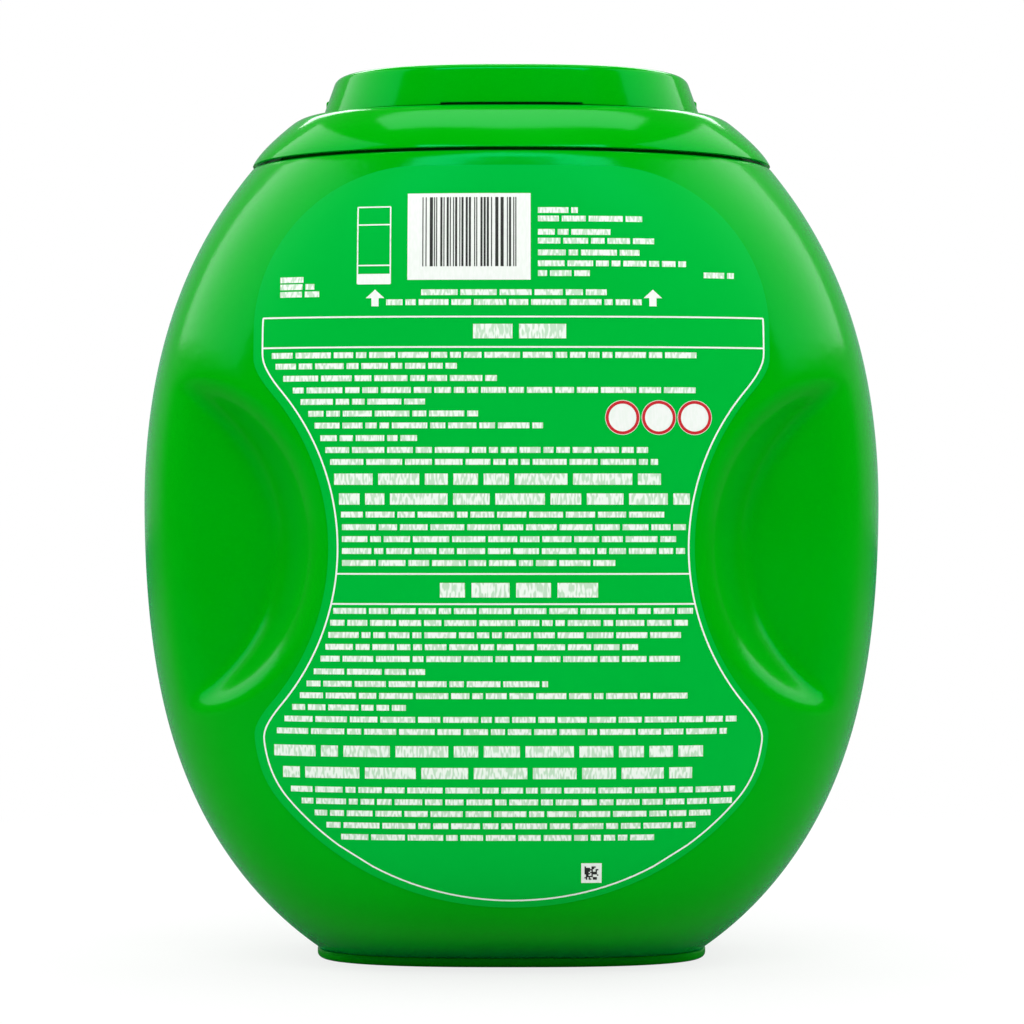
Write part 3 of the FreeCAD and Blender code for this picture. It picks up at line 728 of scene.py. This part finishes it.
# two ears: an eye round the lid's pin, an arm in from it behind the lid's back wall, and a leg down
for sx in (-1, 1):
    left, right = sorted((sx * ear_near, sx * ear_far))
    top = hinge_z + arm_above
    rod_along_x(points, faces, ear_eye_radius, left, right, hinge_y, hinge_z)
    block(points, faces, left, right, hinge_y + arm_out, hinge_y + arm_in, hinge_z - arm_below, top)
    block(points, faces, left, right, hinge_y + leg_out, hinge_y + arm_in, landing - 0.8, top)
collar = add_piece("domed_collar", points, faces)


def cut_away(piece, blocks):
    # clears square openings out of a moulded wall
    for bounds in blocks:
        points, faces = [], []
        block(points, faces, *bounds)
        cutter = add_piece("cutter", points, faces)
        step = piece.modifiers.new("opening", "BOOLEAN")
        step.object = cutter
        step.solver = "EXACT"
        bpy.context.view_layer.update()
        shaped = bpy.data.meshes.new_from_object(piece.evaluated_get(bpy.context.evaluated_depsgraph_get()))
        piece.modifiers.clear()
        piece.data = shaped
        bpy.data.objects.remove(cutter)
    piece.data.polygons.foreach_set("use_smooth", [True] * len(piece.data.polygons))
    piece.data.set_sharp_from_angle(angle=math.radians(32))


cut_away(collar, [(slot_near, slot_far, -slot_half, slot_half, slot_low, slot_high),
                  (-slot_far, -slot_near, -slot_half, slot_half, slot_low, slot_high)])
cap_green = moulded("cap_polypropylene", (0, 0.385, 0.0, 1), (0, 0.41, 0.002, 1), cloud_size=40, gloss=0.07,
                    peel_size=700, peel_depth=0.04, level=0.3, bloom=0.15)
collar.data.materials.append(cap_green)
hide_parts("collar")
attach(collar, "tub_body")

# LID
# A shallow flip-top cap in the same plastic. Its skirt is notched at both ends
# for the squeeze tabs, its back wall closes over the hinge, and a lip lifts it.
lid_foot, lid_top, lid_half_width, lid_half_depth = 270.3, 283.1, 61.5, 55.0
side_lean, end_lean = math.tan(math.radians(19.7)), math.tan(math.radians(8.0))
lid_skirt_walls, lid_roof, lid_round, lid_inner_round = (1.7, 1.616), 1.6, 1.6, 0.8
notch_near, notch_far, notch_half, notch_top = 53.75, 62.5, 11.3, 276.7
barrel_radius, lid_pin_radius, lid_pin_half = 1.5, 0.5, 14.0
hinge_clear, opening_half, opening_out, opening_in = 0.3, 22.0, -56.0, -50.9
pocket_out, pocket_top = -53.85, 273.5
bead_columns = 240
lip_half_width, lip_root, lip_reach, lip_corner = 15, 52.5, 55.9, 3.6


def lid_ring(z, walls, inset):
    rise = z - lid_foot
    return oval_ring(lid_half_width - rise * side_lean - walls[0] - inset,
                     lid_half_depth - rise * end_lean - walls[1] - inset, mouth_squareness, z, collar_columns)


# from the middle of the roof down outside, and back up inside
outside, roof_edge, ceiling = (0, 0), lid_top - lid_round, lid_top - lid_roof
rings = [level(lid_ring(lid_top, outside, lid_round + 54 * f), lid_top) for f in (0.8, 0.5, 0.2, 0.06)]
for k in range(round_steps, -1, -1):
    a = math.radians(90 * k / round_steps)
    rings.append(lid_ring(roof_edge + lid_round * math.sin(a), outside, lid_round * (1 - math.cos(a))))
rings += [lid_ring(roof_edge - 11.0 * k / 16, outside, 0) for k in range(1, 17)]
rings += [lid_ring(lid_foot, outside, 0.25), lid_ring(lid_foot, lid_skirt_walls, -0.1)]
rings += [lid_ring(lid_foot + 0.2 + 10.2 * k / 8, lid_skirt_walls, 0) for k in range(9)]
inner_edge = ceiling - lid_inner_round
for k in range(1, 5):
    a = math.radians(90 * k / 4)
    rings.append(lid_ring(inner_edge + lid_inner_round * math.sin(a), lid_skirt_walls,
                          lid_inner_round * (1 - math.cos(a))))
rings += [level(lid_ring(ceiling, lid_skirt_walls, 50 * f), ceiling) for f in (0.3, 0.8)]
rings.reverse()
points, faces = [], []
skin_rings(points, faces, rings, [(0, 0, ceiling), (0, 0, lid_top)])
lid = add_piece("flip_top_lid", points, faces)
# two notches for the tabs, a low opening over the barrel and a pocket for each ear
below = lid_foot - 1.0
pocket_near, pocket_far = ear_near - hinge_clear, ear_far + hinge_clear
cut_away(lid, [(notch_near, notch_far, -notch_half, notch_half, below, notch_top),
               (-notch_far, -notch_near, -notch_half, notch_half, below, notch_top),
               (-opening_half, opening_half, opening_out, opening_in, below, lid_foot + 0.7),
               (pocket_near, pocket_far, pocket_out, opening_in, below, pocket_top),
               (-pocket_far, -pocket_near, pocket_out, opening_in, below, pocket_top)])
points, faces = [], []
rod_along_x(points, faces, barrel_radius, -pocket_near, pocket_near, hinge_y, hinge_z)
rod_along_x(points, faces, lid_pin_radius, -lid_pin_half, lid_pin_half, hinge_y, hinge_z)
# the bead under the roof that seals on the lip of the mouth
skin_rings(points, faces, [oval_ring(w, d, mouth_squareness, z, bead_columns) for w, d, z in (
    (49.0, 43.0, 281.8), (49.0, 43.0, 280.0), (49.2, 43.2, 279.8), (50.3, 44.3, 279.8), (50.5, 44.5, 280.0),
    (50.5, 44.5, 281.8))])
# the lip at the front, for the thumb
corner_x = lip_corner - lip_half_width
lip_outline = [(-lip_half_width, lip_root), (-lip_half_width, lip_reach)]
lip_outline += [(corner_x - lip_corner * math.cos(math.radians(a)),
                 lip_reach + lip_corner * math.sin(math.radians(a))) for a in range(15, 91, 15)]
lip_outline += [(-x, y) for x, y in reversed(lip_outline)]
first = len(points)
for z, inset in ((271.1, 0.25), (271.35, 0), (272.45, 0), (272.7, 0.25)):
    points += [(x * (1 - inset / lip_half_width), y - (inset if y > 55 else 0), z) for x, y in lip_outline]
count = len(lip_outline)
for s in range(3):
    for k in range(count):
        a, b = first + s * count + k, first + s * count + (k + 1) % count
        faces.append((a, b, b + count, a + count))
faces.append(tuple(first + k for k in range(count)))
faces.append(tuple(first + 3 * count + k for k in reversed(range(count))))
lid_trim = add_piece("lid_hinge_and_lip", points, faces)
for piece in (lid, lid_trim):
    piece.data.materials.append(cap_green)
    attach(piece, "lid_body")
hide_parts("lid")

# SQUEEZE TABS
# Two moulded tabs, one in each end of the lid's skirt. Each is pressed in to
# draw its hook off the lid; its foot slides in a slot of the collar.
tab_green = moulded("tab_polypropylene", (0, 0.37, 0.0, 1), (0, 0.4, 0.002, 1), cloud_size=60, gloss=0.1,
                    peel_size=900, peel_depth=0.05, level=0.3, bloom=0.15)
for name in ("squeeze_tab_right", "squeeze_tab_left"):
    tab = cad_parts[name]
    tab.data.materials.clear()
    tab.data.materials.append(tab_green)

# PODS
# Laundry pods laid in flat layers: two chambers of liquid soap in a thin film
# that dissolves, drawn round by the film's own shrinkage, with a sealed rim.
pod_pitch, pod_layer_pitch, first_pod_middle = 40.4, 20.4, 14.0
pod_half, pod_pole, pod_crown, pod_rim = 19.85, 9.6, 9.2, 0.35
pod_sectors, pod_steps = 36, 8
groove_depth, groove_width = 2.2, 2.2
seam_aside, seam_wave, seam_stretch = 2.5, 2.5, 7
# where a pod's corner stands from its middle in the plain CAD layers
plain_corner_x, plain_corner_y = 20, 11


def into_small_chamber(x, y):
    # how far a point is past the waving seam between the two chambers
    return x - seam_aside - seam_wave * math.sin(y / seam_stretch)


def pod_mesh():
    # one pod round its own middle: points, faces, and how far each point is inside the small chamber
    points, faces = [], []
    for side in (1, -1):
        first = len(points)
        points.append((0, 0, side * pod_pole))
        for s in range(1, pod_steps + 1):
            reach = s / pod_steps
            for k in range(pod_sectors):
                turn = 2 * math.pi * k / pod_sectors
                x, y = oval_point(pod_half * reach, pod_half * reach, 2 + 2.2 * reach, turn)
                crown = pod_crown * (1 - reach ** 2.7) + pod_rim
                divide = into_small_chamber(x, y)
                groove = groove_depth * math.exp(-(divide / groove_width) ** 2) * (1 - reach ** 3)
                points.append((x, y, side * (crown - groove)))
        for k in range(pod_sectors):
            a, b = first + 1 + k, first + 1 + (k + 1) % pod_sectors
            faces.append((first, a, b) if side > 0 else (first, b, a))
            for s in range(pod_steps - 1):
                low, high = s * pod_sectors, (s + 1) * pod_sectors
                ring = (a + low, b + low, b + high, a + high)
                faces.append(ring[::-1] if side > 0 else ring)
        if side > 0:
            top_rim = len(points) - pod_sectors
    low_rim = len(points) - pod_sectors
    for k in range(pod_sectors):
        after = (k + 1) % pod_sectors
        faces.append((top_rim + k, top_rim + after, low_rim + after, low_rim + k))
    return points, faces, [into_small_chamber(x, y) for x, y, _ in points]


def pod_soap(name, pale, green, gloss):
    # both chambers' liquids in one film, parted where the point's own chamber value crosses nought
    material, nodes, links = new_material(name)
    out = nodes.new("ShaderNodeOutputMaterial")
    liquid = nodes.new("ShaderNodeBsdfPrincipled")
    liquid.inputs["Subsurface Weight"].default_value = 0.25
    liquid.inputs["Subsurface Radius"].default_value = (0.004, 0.006, 0.004)
    liquid.inputs["Coat Weight"].default_value = 0.5
    chamber = nodes.new("ShaderNodeAttribute")
    chamber.attribute_name = "chamber"
    divide = nodes.new("ShaderNodeMapRange")
    divide.inputs["From Min"].default_value = -0.4
    divide.inputs["From Max"].default_value = 0.4
    tone = nodes.new("ShaderNodeMix")
    tone.data_type = "RGBA"
    links.new(chamber.outputs["Fac"], divide.inputs["Value"])
    links.new(divide.outputs["Result"], tone.inputs["Factor"])
    links.new(tone.outputs["Result"], liquid.inputs["Base Color"])
    for socket, (body, cloudy) in (("A", pale), ("B", green)):
        skin = nodes.new("ShaderNodeGroup")
        skin.node_tree = cloud_group
        skin.inputs["Pigment"].default_value = body
        skin.inputs["Thin Pigment"].default_value = cloudy
        skin.inputs["Cloud Size"].default_value = 90
        skin.inputs["Gloss"].default_value = gloss
        skin.inputs["Peel Size"].default_value = 240
        skin.inputs["Peel Depth"].default_value = 0.6
        links.new(skin.outputs["Colour"], tone.inputs[socket])
    links.new(skin.outputs["Roughness"], liquid.inputs["Roughness"])
    links.new(skin.outputs["Normal"], liquid.inputs["Normal"])
    links.new(liquid.outputs[0], out.inputs["Surface"])
    return material


soap = pod_soap("pod_soap", pale=((0.62, 0.78, 0.66, 1), (0.75, 0.86, 0.76, 1)),
                green=((0.03, 0.42, 0.25, 1), (0.05, 0.5, 0.3, 1)), gloss=0.16)
pod_points, pod_faces, pod_chambers = pod_mesh()
chance = random.Random(23)
for level_number in range(9):
    node = "pod_layer_" + str(level_number + 1)
    shift = pod_pitch / 2 if level_number % 2 else 0.0
    middle_z = first_pod_middle + level_number * pod_layer_pitch
    corners = [(v.co.x * 1000 - plain_corner_x, v.co.y * 1000 - plain_corner_y)
               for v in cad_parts[node].data.vertices]
    places = []
    for row_number in (-1, 0, 1):
        for place_number in range(-4, 4):
            x, y = place_number * pod_pitch + shift, row_number * pod_pitch
            if any(abs(cx - x) < 0.15 and abs(cy - y) < 0.15 for cx, cy in corners):
                places.append((x, y))
    points, faces = [], []
    for x, y in places:
        turn = math.radians(90 * chance.randrange(4) + chance.uniform(-0.8, 0.8))
        c, s = math.cos(turn), math.sin(turn)
        first = len(points)
        points += [(x + px * c - py * s, y + px * s + py * c, middle_z + pz) for px, py, pz in pod_points]
        faces += [tuple(first + i for i in face) for face in pod_faces]
    pods = add_piece("soap_" + node, points, faces, 60)
    pods.data.materials.append(soap)
    pods.data.attributes.new("chamber", "FLOAT", "POINT").data.foreach_set("value", pod_chambers * len(places))
    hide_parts(node)
    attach(pods, "tub_body")
